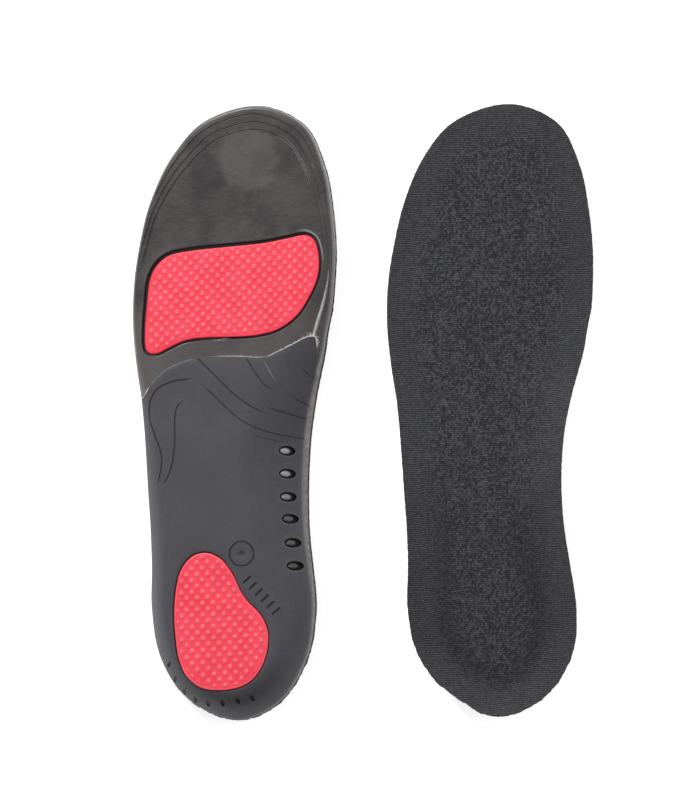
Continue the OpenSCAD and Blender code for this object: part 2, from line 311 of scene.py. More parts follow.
# Short notches round the heel, each pointing out from its middle; half sizes across and along
NOTCHES = [
    (-25.1, 23.6), (-22.2, 17.9), (-18.1, 13.1), (-13.2, 9.8), (-7.4, 8), (-0.6, 7.5), (6.2, 8.4),
    (12.2, 9.6),
]
NOTCH_SIZE = (1.0, 1.75)
NOTCH_DEPTH = 1.1
# Inset of the three trim lines from the edge, by distance from the heel, on each side
TRIM_LINES = [
    ([(222, 1.3), (235, 2.2), (250, 3.3), (262, 4.1), (270, 4.3)],
     [(196, 1.6), (222, 2.2), (243, 3.1), (262, 4.1), (270, 4.3)], 222),
    ([(200, 1.6), (222, 3.1), (240, 5.1), (256, 7.1), (270, 7.7)],
     [(190, 3.0), (222, 3.9), (243, 5.6), (260, 7.2), (270, 7.7)], 200),
    ([(194, 3.0), (222, 5.1), (240, 7.7), (256, 10.1), (270, 11.0)],
     [(184, 4.4), (222, 5.8), (243, 8.1), (260, 10.3), (270, 11.0)], 194),
]
TRIM_LINE = (0.36, 0.34)
# The fold of film that runs forward from the border's corner: its line, half width and height
RIDGE = [(43.2, 201), (42.9, 195), (42.4, 189.5), (41, 182), (39.2, 175.4), (37.7, 170), (37.2, 167)]
RIDGE_SIZE = (0.85, 0.5)
# The gap round the ball pad, and the lip outside it: its half width and height
GROOVE_DEPTH = 1.7
LIP = (0.5, 0.24)
# Where lines are laid beside a groove's middle, in half widths: on its floor, its wall and its margin
GROOVE_STEPS = (0.4, 0.8, 1.08, 1.5)
WALL_TOP = GROOVE_STEPS[2]


def trim_line(outer, inner, start):
    """A line that follows the toe's edge at a changing inset, from the outer side round to the inner."""
    x, y = OUTLINE.T
    on_outer = x < TOE_TIP[0][0]
    inset = np.where(on_outer, np.interp(y, *np.array(outer).T), np.interp(y, *np.array(inner).T))
    end = inner[0][0]
    kept = shifted(OUTLINE, inset)[y > np.where(on_outer, start, end)]
    return respaced(kept, 0.7, False)


def taper(points, line, reach=4.0):
    """1 along a line, falling to 0 at its two ends."""
    ends = np.minimum(np.linalg.norm(points - line[0], axis=1), np.linalg.norm(points - line[-1], axis=1))
    return smooth(ends, 0, reach)


def groove(points, line, half, depth, closed=False, reach=4.0):
    """Depth of a flat-floored groove along a line; an open one fades over the reach at its ends."""
    d = nearest(points, line, closed)[0]
    cut = depth * np.clip(1 - (d / half) ** 4, 0, 1)
    return cut if closed or reach == 0 else cut * taper(points, line, reach)


def across(line, half, closed=False):
    """Lines beside a groove's middle: its floor, the feet and tops of its walls, and a margin outside."""
    steps = [-o for o in GROOVE_STEPS[::-1]] + [0.003] + list(GROOVE_STEPS)
    return [shifted(line, half * o, closed) for o in steps]


def line_through(keys, gap=0.6):
    """Evenly spaced points on the smooth open curve through the key points."""
    return respaced(through(keys), gap, False)


def ring_loop():
    a = np.linspace(0, 2 * math.pi, 48, endpoint=False)
    return np.c_[RING_CENTRE[0] + RING_RADIUS * np.cos(a), RING_CENTRE[1] + RING_RADIUS * np.sin(a)]


def bars():
    """Plain strokes of equal length, across the line between the two ends."""
    a, b = np.array(BARS_FROM), np.array(BARS_TO)
    along = (b - a) / np.linalg.norm(b - a)
    half = np.array([-along[1], along[0]]) * BAR_LENGTH / 2
    out = []
    for i in range(BAR_COUNT):
        c = a + (b - a) * i / (BAR_COUNT - 1)
        out.append(respaced(np.array([c - half, c + half]), 0.5, False))
    return out


def capsule(a, b, radius, steps=6):
    """A loop at a distance round the straight line from a to b."""
    turn = math.atan2(*(b - a)[::-1])
    out = []
    for end, start in ((b, -0.5), (a, 0.5)):
        for k in range(steps + 1):
            angle = turn + math.pi * (start + k / steps)
            out.append(end + radius * np.array([math.cos(angle), math.sin(angle)]))
    return respaced(np.array(out), 0.35, True)


def ellipse(centre, size, steps=36):
    a = np.linspace(0, 2 * math.pi, steps, endpoint=False)
    return np.c_[centre[0] + size[0] / 2 * np.cos(a), centre[1] + size[1] / 2 * np.sin(a)]


# ---- Plates: triangulated outlines with fitted lines, made into closed solids ----

def hexes(low, high, gap):
    xs = np.arange(low[0], high[0] + gap, gap)
    ys = np.arange(low[1], high[1] + gap, gap * math.sqrt(3) / 2)
    x, y = np.meshgrid(xs, ys)
    x = x + (np.arange(len(ys)) % 2 * gap / 2)[:, None]
    return np.c_[x.ravel(), y.ravel()]


def plate(walls, lines, gap, keep):
    """Triangles between walls (lists of (line, closed)) that hug the detail lines.
    keep says which triangle centres belong to the plate."""
    guides = [p for p, _ in walls] + lines
    low = np.vstack([p for p, _ in walls]).min(0)
    high = np.vstack([p for p, _ in walls]).max(0)
    seeds = hexes(low, high, gap)
    fixed = np.vstack(guides)
    clear = np.linalg.norm(seeds - fixed[closest_index(seeds, fixed)], axis=1)
    seeds = seeds[clear > gap * 0.55]
    points, edges = [], []
    for line, closed in walls:
        base = len(points)
        points += line.tolist()
        count = len(line)
        edges += [(base + i, base + (i + 1) % count) for i in range(count if closed else count - 1)]
    for line in lines:
        points += line.tolist()
    points += seeds.tolist()
    made = delaunay_2d_cdt([Vector(p) for p in points], edges, [], 0, 1e-5, False)
    xy = np.array([(v.x, v.y) for v in made[0]])
    tris = np.array([f[:3] for f in made[2]])
    tris = tris[keep(xy[tris].mean(1))]
    area = np.cross(xy[tris[:, 1]] - xy[tris[:, 0]], xy[tris[:, 2]] - xy[tris[:, 0]])
    tris = tris[np.abs(area) > 1e-7]
    flip = area[np.abs(area) > 1e-7] < 0
    tris[flip] = tris[flip][:, ::-1]
    used = np.unique(tris)
    back = np.full(len(xy), -1)
    back[used] = np.arange(len(used))
    return xy[used], back[tris]


def open_edges(tris):
    """The directed edges of the plate's border."""
    e = np.vstack([tris[:, [0, 1]], tris[:, [1, 2]], tris[:, [2, 0]]])
    key = e[:, 0].astype(np.int64) * (tris.max() + 1) + e[:, 1]
    twin = e[:, 1].astype(np.int64) * (tris.max() + 1) + e[:, 0]
    return e[~np.isin(key, twin)]


def closed_solid(tris, low, high):
    """Points and faces of the solid between two faces of the same triangles, low and high in 3-D."""
    n = len(low)
    faces = [tuple(t) for t in (tris + n)] + [tuple(t) for t in tris[:, ::-1]]
    faces += [(a, b, b + n, a + n) for a, b in open_edges(tris)]
    return np.vstack([low, high]), faces


def rounded(d, r):
    """How far a rounded edge of radius r falls back at distance d from it."""
    x = np.clip(1 - d / r, 0, 1)
    return r * (1 - np.sqrt(1 - x * x))


def at(xy, z):
    return np.c_[xy, z]


# ---- The places of the two insoles, from the frame ----

def box_of(side):
    names = [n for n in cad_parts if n.startswith(side + "_")]
    lows, highs = zip(*(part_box(n) for n in names))
    return np.min(lows, axis=0), np.max(highs, axis=0)


def rim_cloud():
    sole, top, _, _ = faces_at(OUTLINE)
    return np.vstack([at(OUTLINE, top), at(OUTLINE, sole)])


def place_of(side):
    """The matrix from an insole's own millimetres to the row frame in metres."""
    turn = Matrix.Identity(4)
    if side == "right":
        turn = (Matrix.Rotation(math.radians(-RIGHT_YAW), 4, "Z")
                @ Matrix.Rotation(math.radians(-RIGHT_ROLL), 4, "Y")
                @ Matrix.Rotation(math.radians(-RIGHT_PITCH), 4, "X")
                @ Matrix.Diagonal((1, 1, -1, 1)))
    turn = Matrix.Diagonal((MM, MM, MM, 1)) @ turn
    cloud = np.array([turn @ Vector(p) for p in rim_cloud()])
    low, high = box_of(side)
    shift = (low + high) / 2 - (cloud.min(0) + cloud.max(0)) / 2
    shift[2] = 0.0 if side == "left" else -cloud[:, 2].min()
    return Matrix.Translation(shift) @ turn


PLACES = {side: place_of(side) for side in ("left", "right")}


def hand_cut(side, points):
    """The two insoles aren't cut quite alike, so the points near their edges shift by a millimetre or two."""
    x, y, _ = points.T
    shift = np.zeros_like(points)
    if side == "right":
        rel = points[:, :2] - HEEL_MIDDLE
        away = np.linalg.norm(rel, axis=1)
        angle = np.degrees(np.arctan2(rel[:, 0], -rel[:, 1]))
        grow = table(RIGHT_HEEL_CUT, angle) * smooth(away, 12, 34) / np.maximum(away, 1)
        shift[:, :2] = rel * grow[:, None]
        shift[:, 0] += table(RIGHT_INNER_CUT, y) * smooth(x, 16, 34)
        shift[:, 0] -= table(RIGHT_OUTER_CUT, y) * smooth(-x, 16, 32)
    else:
        shift[:, 0] = 1.6 * smooth(y, 17, 6) * smooth(x, -3, -13)
    return points + shift


def piece(side, name, points, faces, material, attributes=None, sharp=40):
    """A mesh of one piece on one insole, with its flat place kept for the materials."""
    mesh = bpy.data.meshes.new(f"{side}_{name}")
    m = np.array(PLACES[side])
    world = hand_cut(side, points) @ m[:3, :3].T + m[:3, 3]
    if m[2, 2] < 0:
        faces = [f[::-1] for f in faces]
    mesh.from_pydata(world.tolist(), [], faces)
    mesh.update()
    mesh.shade_smooth()
    mesh.set_sharp_from_angle(angle=math.radians(sharp))
    local = mesh.attributes.new("local", "FLOAT_VECTOR", "POINT")
    local.data.foreach_set("vector", points.astype(np.float32).ravel())
    for key, values in (attributes or {}).items():
        layer = mesh.attributes.new(key, "FLOAT", "POINT")
        layer.data.foreach_set("value", np.asarray(values, np.float32))
    mesh.materials.append(material)
    obj = bpy.data.objects.new(f"{side}_{name}", mesh)
    bpy.context.scene.collection.objects.link(obj)
    return obj


# ---- Materials ----

class Graph:
    """A small helper to write a node graph as expressions."""

    def __init__(self, name):
        self.material = bpy.data.materials.new(name)
        self.material.use_nodes = True
        self.tree = self.material.node_tree
        self.shader = self.tree.nodes["Principled BSDF"]

    def node(self, kind, **settings):
        made = self.tree.nodes.new(kind)
        for key, value in settings.items():
            setattr(made, key, value)
        return made

    def put(self, socket, value):
        if isinstance(value, bpy.types.NodeSocket):
            self.tree.links.new(value, socket)
        else:
            socket.default_value = value

    def attribute(self, name, output="Fac"):
        return self.node("ShaderNodeAttribute", attribute_name=name).outputs[output]

    def local(self, scale=(1, 1, 1)):
        """The piece's own flat place in millimetres, scaled."""
        made = self.node("ShaderNodeMapping")
        self.put(made.inputs["Vector"], self.attribute("local", "Vector"))
        made.inputs["Scale"].default_value = scale
        return made.outputs["Vector"]

    def math(self, operation, a, b=0.0, clamp=False):
        made = self.node("ShaderNodeMath", operation=operation, use_clamp=clamp)
        self.put(made.inputs[0], a)
        self.put(made.inputs[1], b)
        return made.outputs[0]

    def noise(self, scale, detail=2.0, stretch=(1, 1, 1), roughness=0.5):
        made = self.node("ShaderNodeTexNoise")
        self.put(made.inputs["Vector"], self.local(stretch))
        made.inputs["Scale"].default_value = scale
        made.inputs["Detail"].default_value = detail
        made.inputs["Roughness"].default_value = roughness
        return made.outputs["Fac"]

    def cells(self, scale, output="Distance", stretch=(1, 1, 1)):
        made = self.node("ShaderNodeTexVoronoi")
        self.put(made.inputs["Vector"], self.local(stretch))
        made.inputs["Scale"].default_value = scale
        return made.outputs[output]

    def ramp(self, value, low, high, to_low=0.0, to_high=1.0):
        made = self.node("ShaderNodeMapRange", interpolation_type="SMOOTHSTEP")
        self.put(made.inputs["Value"], value)
        for name, number in (("From Min", low), ("From Max", high), ("To Min", to_low), ("To Max", to_high)):
            made.inputs[name].default_value = number
        return made.outputs["Result"]

    def mix(self, factor, a, b):
        made = self.node("ShaderNodeMix", data_type="RGBA")
        self.put(made.inputs[0], factor)
        self.put(made.inputs[6], (*a, 1) if isinstance(a, tuple) else a)
        self.put(made.inputs[7], (*b, 1) if isinstance(b, tuple) else b)
        return made.outputs[2]

    def bump(self, height, distance, strength=1.0, normal=None):
        """Relief of the given depth in millimetres."""
        made = self.node("ShaderNodeBump")
        made.inputs["Strength"].default_value = strength
        made.inputs["Distance"].default_value = distance * MM
        self.put(made.inputs["Height"], height)
        if normal is not None:
            self.put(made.inputs["Normal"], normal)
        return made.outputs["Normal"]

    def finish(self, colour, roughness, normal=None, **fixed):
        self.put(self.shader.inputs["Base Color"], colour)
        self.put(self.shader.inputs["Roughness"], roughness)
        if normal is not None:
            self.put(self.shader.inputs["Normal"], normal)
        for key, value in fixed.items():
            self.shader.inputs[key.replace("_", " ")].default_value = value
        return self.material


# Stitch size of the knit, in millimetres
WALE = 0.78
COURSE = 0.91


def knit_material():
    """Charcoal knit: rows of small loops, each stitch a little lighter or darker than its neighbours, with
    painted shade in the gaps between the loops and in a ring at the foot of the heel cup.
    """
    g = Graph("charcoal_knit")
    split = g.node("ShaderNodeSeparateXYZ")
    g.put(split.inputs[0], g.local())
    sway = g.math("MULTIPLY", g.math("SUBTRACT", g.noise(0.10, 2.0), 0.5), 3.0)
    across = g.math("DIVIDE", g.math("ADD", split.outputs[0], sway), WALE)
    arm = g.math("ABSOLUTE", g.math("SUBTRACT", g.math("FRACT", across), 0.5))
    row = g.math("ADD", g.math("DIVIDE", g.math("ADD", split.outputs[1], sway), COURSE),
                 g.math("MULTIPLY", arm, 0.8))
    loops = g.math("ADD", g.math("MULTIPLY", g.math("SINE", g.math("MULTIPLY", row, 2 * math.pi)), 0.5), 0.5)
    yarn = g.math("MULTIPLY", loops, g.ramp(arm, 0.34, 0.5, 1.0, 0.45))
    stitch = g.node("ShaderNodeCombineXYZ")
    g.put(stitch.inputs[0], g.math("FLOOR", across))
    g.put(stitch.inputs[1], g.math("FLOOR", row))
    chance = g.node("ShaderNodeTexWhiteNoise")
    g.put(chance.inputs["Vector"], stitch.outputs[0])
    fuzz = g.noise(2.6, 3.0, roughness=0.7)
    relief = g.math("ADD", g.math("MULTIPLY", yarn, 0.7), g.math("MULTIPLY", fuzz, 0.6))
    middle = g.attribute("middle")
    # The yarn's height also sets its colour: painted shade darkens the gaps between the loops
    tone = g.math("ADD", g.math("MULTIPLY", relief, g.ramp(middle, 0.0, 1.0, 0.66, 0.42)),
                  g.math("MULTIPLY", chance.outputs["Value"], g.ramp(middle, 0.0, 1.0, 0.2, 0.42)))
    cloudy = g.ramp(g.noise(0.05, 4.0, roughness=0.6), 0.3, 0.7, -0.025, 0.025)
    dark, light = (0.0155, 0.0158, 0.0176), (0.112, 0.113, 0.122)
    base = g.mix(g.ramp(g.math("ADD", tone, cloudy), 0.22, 1.0), dark, light)
    # Painted shade: a darker ring at the foot of the heel cup's wall
    painted_cup_shade = g.mix(g.math("MULTIPLY", g.attribute("painted_cup_shade"), 0.42), base, (0.014, 0.014, 0.015))
    flecks = g.math("MULTIPLY", g.ramp(g.cells(0.9), 0.14, 0.07), g.ramp(g.noise(0.8, 0.0), 0.62, 0.67))
    colour = g.mix(g.math("MULTIPLY", flecks, 0.6), painted_cup_shade, (0.30, 0.29, 0.26))
    return g.finish(colour, g.ramp(fuzz, 0.3, 0.7, 0.78, 0.95), g.bump(relief, 0.25, 0.9),
                    Sheen_Weight=0.15, Sheen_Roughness=0.45, Specular_IOR_Level=0.25)


def foam_material():
    """Cut closed-cell foam: open pores painted darker as shade, and here and there a bright skinned cell."""
    g = Graph("cut_foam")
    pores = g.cells(2.6)
    tone = g.noise(0.5, 3.0)
    base = g.mix(g.ramp(tone, 0.3, 0.7), (0.205, 0.187, 0.184), (0.300, 0.279, 0.275))
    # Painted shade in the pores
    pore_shaded = g.mix(g.ramp(pores, 0.18, 0.02, 0.0, 0.5), base, (0.09, 0.082, 0.08))
    colour = g.mix(g.ramp(g.noise(1.7, 2.0), 0.62, 0.72, 0.0, 0.45), pore_shaded, (0.55, 0.53, 0.52))
    return g.finish(colour, 0.85, g.bump(g.math("ADD", pores, g.math("MULTIPLY", tone, 0.6)), 0.12, 0.7),
                    Specular_IOR_Level=0.3)


def shell_material():
    """Moulded dark grey plastic with a fine grain, faint flow streaks and a little dust, painted highlights
    on its edges, and painted shade in its engravings and towards the heel.
    """
    g = Graph("shell_plastic")
    cloudy = g.noise(0.03, 3.0)
    grain = g.noise(5.5, 2.0)
    streak = g.noise(1.0, 2.0, stretch=(0.9, 0.05, 0.5))
    mottle = g.math("ADD", g.math("MULTIPLY", cloudy, 0.6), g.math("MULTIPLY", g.noise(0.9, 3.0), 0.4))
    base = g.mix(g.ramp(mottle, 0.36, 0.64), (0.057, 0.055, 0.0645), (0.072, 0.069, 0.0815))
    # Lighter along a real scratch, and painted highlights along the edges and the windows' rims
    worn = g.mix(g.math("MULTIPLY", g.attribute("wear_and_painted_light"), 0.8), base, (0.17, 0.165, 0.165))
    along = g.node("ShaderNodeSeparateXYZ")
    g.put(along.inputs[0], g.local())
    # Painted shade: darker towards the heel's end
    heel = g.mix(g.ramp(along.outputs[1], 30, 2, 0.0, 0.75), worn, (0.030, 0.029, 0.035))
    dust = g.ramp(g.noise(1.6, 4.0), 0.62, 0.75, 0.0, 0.25)
    colour = g.mix(dust, heel, (0.12, 0.118, 0.125))
    # Painted shade in the engraved lines, ring, bars and notches
    dark = g.mix(g.attribute("cut"), colour, (0.010, 0.009, 0.011))
    rough = g.math("ADD", g.ramp(cloudy, 0.3, 0.7, 0.46, 0.56), g.math("MULTIPLY", streak, 0.08))
    relief = g.math("ADD", grain, g.math("MULTIPLY", streak, 0.4))
    return g.finish(dark, rough, g.bump(relief, 0.03, 0.6), Specular_IOR_Level=0.3)


def skin_material():
    """Glossy dark film: brownish where it is thin, streaked across, with a few tiny light specks, a painted
    light sheen, painted highlights, and painted shade in its grooves and gaps.
    """
    g = Graph("forefoot_film")
    cloudy = g.noise(0.05, 5.0, roughness=0.65)
    smear = g.noise(0.35, 3.0, stretch=(0.12, 1.0, 1.0))
    streaks = g.noise(1.3, 3.0, stretch=(0.22, 1.0, 1.0), roughness=0.65)
    mottle = g.math("ADD", g.math("MULTIPLY", cloudy, 0.55), g.math("MULTIPLY", streaks, 0.45))
    base = g.mix(g.ramp(mottle, 0.38, 0.64), (0.029, 0.0250, 0.0270), (0.058, 0.0485, 0.0465))
    # Painted reflection: a lighter sheen where the attribute says, at the toe and behind the ball pad
    painted_sheen = g.math("MULTIPLY", g.attribute("painted_sheen"), g.ramp(streaks, 0.25, 0.75, 0.7, 1.0))
    sheened = g.mix(painted_sheen, base, (0.087, 0.0745, 0.0725))
    specks = g.math("MULTIPLY", g.ramp(g.cells(0.5), 0.09, 0.05), g.ramp(g.noise(0.4, 0.0), 0.6, 0.66))
    dusty = g.mix(g.math("MULTIPLY", specks, 0.5), sheened, (0.3, 0.28, 0.27))
    # Lighter film: torn film at the border, and painted highlights on the ridge, the edge, the lip and a trim
    # line
    worn = g.mix(g.attribute("wear_and_painted_light"), dusty, (0.66, 0.63, 0.65))
    # Painted shade: darker in the trim lines, on the pad's gap, in a patch at the toe and along the border
    dark = g.mix(g.attribute("cut"), worn, (0.010, 0.009, 0.010))
    rough = g.math("ADD", g.ramp(cloudy, 0.3, 0.7, 0.26, 0.42), g.math("MULTIPLY", smear, 0.12))
    relief = g.math("ADD", g.math("MULTIPLY", smear, 0.5), g.noise(0.25, 2.0))
    return g.finish(dark, rough, g.bump(relief, 0.10, 0.5), Specular_IOR_Level=0.55)


def gel_material():
    """Soft coral gel: paler over the nubs and the heel pad's rim as painted highlights, redder at the rim as
    painted shade, with a few dark specks in it and a few painted light glints.
    """
    g = Graph("coral_gel")
    cloudy = g.noise(0.09, 3.0)
    fine = g.noise(4.5, 2.0)
    base = g.mix(g.ramp(cloudy, 0.3, 0.7), (0.87, 0.042, 0.078), (0.93, 0.064, 0.104))
    # Painted highlight: paler over the nubs' tips and the heel pad's rim
    tips = g.mix(g.math("MULTIPLY", g.attribute("painted_highlight"), 0.5), base, (1.0, 0.27, 0.31))
    # Painted shade: redder where the pad's rim rounds down
    rim = g.mix(g.math("MULTIPLY", g.attribute("wear_and_painted_light"), 0.5), tips, (0.72, 0.030, 0.055))
    specks = g.math("MULTIPLY", g.ramp(g.cells(0.33), 0.07, 0.04), g.ramp(g.noise(0.21, 0.0), 0.60, 0.64))
    dotted = g.mix(specks, rim, (0.10, 0.008, 0.012))
    # Painted highlights: a few light glints
    painted_glints = g.math("MULTIPLY", g.ramp(g.cells(0.7), 0.12, 0.05), g.ramp(g.noise(0.16, 1.0), 0.56, 0.64))
    colour = g.mix(g.math("MULTIPLY", painted_glints, 0.7), dotted, (1.0, 0.55, 0.58))
    return g.finish(colour, g.ramp(fine, 0.3, 0.7, 0.34, 0.48), g.bump(fine, 0.05, 0.6),
                    Specular_IOR_Level=0.42,
                    Subsurface_Weight=0.08, Subsurface_Radius=(0.0016, 0.0005, 0.0004), Subsurface_Scale=0.6)


def pod_material():
    """Light grey rubber domes, painted darker as shaded where the tone says so, on dishes painted near black
    as shade that don't shine.
    """
    g = Graph("window_pod")
    mottle = g.noise(1.8, 3.0)
    light = g.mix(g.ramp(mottle, 0.35, 0.65), (0.30, 0.29, 0.31), (0.52, 0.51, 0.54))
    shaded_grey = g.mix(g.ramp(mottle, 0.35, 0.65), (0.018, 0.018, 0.018), (0.085, 0.081, 0.081))
    # Painted shade: the tone mixes each dome from a lit light grey to a shaded grey
    dome = g.mix(g.attribute("tone"), light, shaded_grey)
    # Painted shade: the dishes round the domes near black
    colour = g.mix(g.attribute("cut"), dome, (0.008, 0.008, 0.009))
    g.put(g.shader.inputs["Specular IOR Level"], g.ramp(g.attribute("cut"), 0.0, 0.8, 0.5, 0.08))
    return g.finish(colour, g.ramp(mottle, 0.3, 0.7, 0.3, 0.45), g.bump(mottle, 0.15, 0.6))


# How much the floor glows of itself, so that it reads as white
FLOOR_GLOW = 0.62


def floor_material():
    g = Graph("pale_floor")
    g.finish((0.93, 0.93, 0.93, 1), 0.9, Specular_IOR_Level=0.0)
    g.shader.inputs["Emission Color"].default_value = (1, 1, 1, 1)
    g.shader.inputs["Emission Strength"].default_value = FLOOR_GLOW
    return g.material


KNIT = knit_material()
FOAM = foam_material()
SHELL = shell_material()
SKIN = skin_material()
GEL = gel_material()
POD = pod_material()

# ---- Pieces of one insole, in its own frame ----

def within(loop):
    return lambda centres: inside(centres, loop)


# The foot of the heel cup's wall, where the knit is painted darker as shade: its distance in, and its width
CUP_FOOT = (16.5, 5.5)


def edge_wander():
    """How far in the hand-cut edge wanders along its run, most round the heel."""
    run = np.arange(len(COVER_EDGE)) * 0.8
    wave = np.sin(run * 0.55) + 0.7 * np.sin(run * 1.13 + 1) + 0.5 * np.sin(run * 2.3 + 2)
    return 0.03 + 0.11 * (wave + 1.0) * smooth(COVER_EDGE[:, 1], 60, 20)


def cover_mesh():
    rings = [shifted(COVER_EDGE, o) for o in (0.2, 0.45, 0.9)]
    cut = RNG.normal(0, 0.05, len(COVER_EDGE)) + edge_wander()
    rim = COVER_EDGE + normals_of(COVER_EDGE, True) * cut[:, None]
    xy, tris = plate([(rim, True)], rings, 1.5, within(rim))
    _, top, d, _ = faces_at(xy)
    uneven = 0.12 * np.sin(xy[:, 0] * 0.21 + 1.3 * np.sin(xy[:, 1] * 0.05)) * np.sin(xy[:, 1] * 0.17)
    inner = smooth(d, 1.0, 6.0)
    high = top - rounded(d, 0.45) + uneven * inner
    # Painted shade along the foot of the heel cup's wall, fading towards the toe
    painted_cup_shade = np.exp(-((d - CUP_FOOT[0]) / CUP_FOOT[1]) ** 2) * smooth(xy[:, 1], 105, 60)
    points, faces = closed_solid(tris, at(xy, top - COVER_T), at(xy, high))
    return points, faces, {"painted_cup_shade": np.tile(painted_cup_shade, 2), "middle": np.tile(smooth(d, 5, 22), 2)}


def foam_mesh():
    side = shifted(COVER_EDGE, FOAM_IN)
    rings = [shifted(side, o) for o in (0.6, 1.4)]
    windows = through(WINDOWS, 6)
    xy, tris = plate([(side, True)], rings + [windows], 2.6, within(side))
    _, top, d, foot = faces_at(xy)
    slant = (by_side(TRIM_IN_INNER, TRIM_IN_OUTER, foot) - FOAM_IN) * np.clip(1 - d / 10, 0, 1)
    low_xy = xy + normals_of(COVER_EDGE, True)[closest_index(foot, COVER_EDGE)] * slant[:, None]
    pocket = np.minimum(signed(low_xy, BALL_LOOP), signed(low_xy, HEEL_LOOP))
    pocket = np.minimum(pocket, nearest(low_xy, windows, False)[0] - 4.5)
    low = faces_at(low_xy)[0] + SOLE_T + (PAD_DEPTH - SOLE_T + 0.2) * smooth(-pocket, -3.0, -1.5)
    points, faces = closed_solid(tris, at(low_xy, low), at(xy, top - COVER_T))
    return points, faces, {}


def notch_axes(c):
    """Unit vectors at a notch: along the heel's edge, and out from the heel's middle."""
    out = (np.array(c) - HEEL_MIDDLE) / np.linalg.norm(np.array(c) - HEEL_MIDDLE)
    return np.array([-out[1], out[0]]), out


def shell_detail(xy):
    """Depth cut into the shell's outer face."""
    depth = np.zeros(len(xy))
    for keys, half, deep in SHELL_LINES:
        line = line_through(keys)
        depth = np.maximum(depth, groove(xy, line, half, deep, reach=min(5.0, 0.2 * len(line))))
    depth = np.maximum(depth, groove(xy, ring_loop(), *RING_LINE, closed=True))
    for bar in bars():
        depth = np.maximum(depth, groove(xy, bar, *BAR_LINE, reach=0))
    dot = np.linalg.norm(xy - np.array(RING_CENTRE), axis=1)
    half, deep = RING_DIMPLE
    depth = np.maximum(depth, deep * np.sqrt(np.clip(1 - (dot / half) ** 2, 0, 1)))
    for c in NOTCHES:
        along, out = notch_axes(c)
        rel = xy - np.array(c)
        u = rel @ along / NOTCH_SIZE[0]
        v = rel @ out / NOTCH_SIZE[1]
        depth = np.maximum(depth, NOTCH_DEPTH * np.clip(1 - u * u - v * v, 0, 1) ** 0.5)
    return depth


def shell_groove_shade(cut):
    """Painted shade: how much darker the engraved places are, the deep notches most."""
    return 0.62 * smooth(cut, 0.05, 0.35) + 0.25 * smooth(cut, 0.5, 0.8)


def shell_guides():
    """Extra points along every engraved line, so that each groove has a floor and two walls."""
    lines = []
    for keys, half, _ in SHELL_LINES:
        lines += across(line_through(keys), half)
    lines += across(ring_loop(), RING_LINE[0], closed=True)
    for bar in bars():
        lines += [capsule(bar[0], bar[-1], BAR_LINE[0] * o) for o in GROOVE_STEPS]
    lines += bars()
    scratch, half = SCRATCH
    lines += across(line_through(scratch), half)
    for c in NOTCHES:
        along, out = notch_axes(c)
        for share in (1.25, 1.0, 0.75, 0.4):
            e = ellipse((0, 0), (2 * NOTCH_SIZE[0] * share, 2 * NOTCH_SIZE[1] * share), 16)
            lines.append(np.array(c) + e[:, :1] * along + e[:, 1:] * out)
    dimple = 2 * RING_DIMPLE[0]
    lines.append(ellipse(RING_CENTRE, (dimple, dimple), 18))
    lines.append(ellipse(RING_CENTRE, (dimple / 1.5, dimple / 1.5), 12))
    return lines


def shell_mesh():
    pad_hole = shifted(HEEL_LOOP, 0.35 * OUTWARD)
    holes = [ellipse(c, WINDOW_SIZE) for c in WINDOWS]
    rings = [shifted(SOLE_EDGE, o) for o in (0.15, 0.35, 0.7)]
    rings += [shifted(pad_hole, o * OUTWARD) for o in (0.15, 0.4)]
    rings += [shifted(h, -o) for h in holes for o in (0.15, 0.4, 0.9)]
    border_rings = [shifted(BORDER_LINE, -o, closed=False) for o in (0.12, 0.3)]
    walls = [(SOLE_EDGE, True), (pad_hole, True), (BORDER_LINE, False)] + [(h, True) for h in holes]

    def keep(c):
        kept = inside(c, SOLE_EDGE) & inside(c, SHELL_REGION) & ~inside(c, pad_hole)
        for h in holes:
            kept &= ~inside(c, h)
        return kept

    xy, tris = plate(walls, rings + border_rings + shell_guides(), 1.5, keep)
    sole = faces_at(xy)[0]
    edge = nearest(xy, SOLE_EDGE)[0]
    hole = nearest(xy, pad_hole)[0]
    window = np.min([nearest(xy, h)[0] for h in holes], axis=0)
    front = nearest(xy, BORDER_LINE, False)[0]
    cut = shell_detail(xy)
    raised = 0.12 * smooth(window, 1.6, 0.5)
    fall = rounded(edge, 0.7) + rounded(hole, 0.4) + rounded(window, 0.4) + rounded(front, 0.3)
    low = sole + cut + fall - raised
    high = np.maximum(sole + SOLE_T, low + 0.15)
    # Painted highlights round the windows' rims and along the sole's edge; the scratch below is a real light
    # mark
    wear_and_painted_light = smooth(window, 1.2, 0.1) * 0.25 + smooth(edge, 0.9, 0.1) * 0.8
    scratch, half = SCRATCH
    wear_and_painted_light = np.maximum(wear_and_painted_light, 2 * groove(xy, line_through(scratch), half, 0.5, reach=5.0))
    marks = {"wear_and_painted_light": np.r_[wear_and_painted_light, wear_and_painted_light], "cut": np.tile(shell_groove_shade(cut), 2)}
    points, faces = closed_solid(tris, at(xy, low), at(xy, high))
    return points, faces, marks


def ragged(xy):
    """An uneven number from 0 to 1 over the plate, for torn and worn edges."""
    x, y = xy.T
    wave = np.sin(1.9 * x + 2 * np.sin(0.6 * x) + 0.9 * y) + np.sin(4.3 * x - 3.1 * y + 1.7 * np.sin(1.3 * y))
    return 0.5 + 0.25 * wave


def groove_width(foot):
    """The gap round the ball pad is widest at its front and outer side."""
    rel = foot - BALL_LOOP.mean(0)
    rel /= np.linalg.norm(rel, axis=1)[:, None]
    return 1.05 + 0.3 * rel @ np.array([-0.6, 0.8])


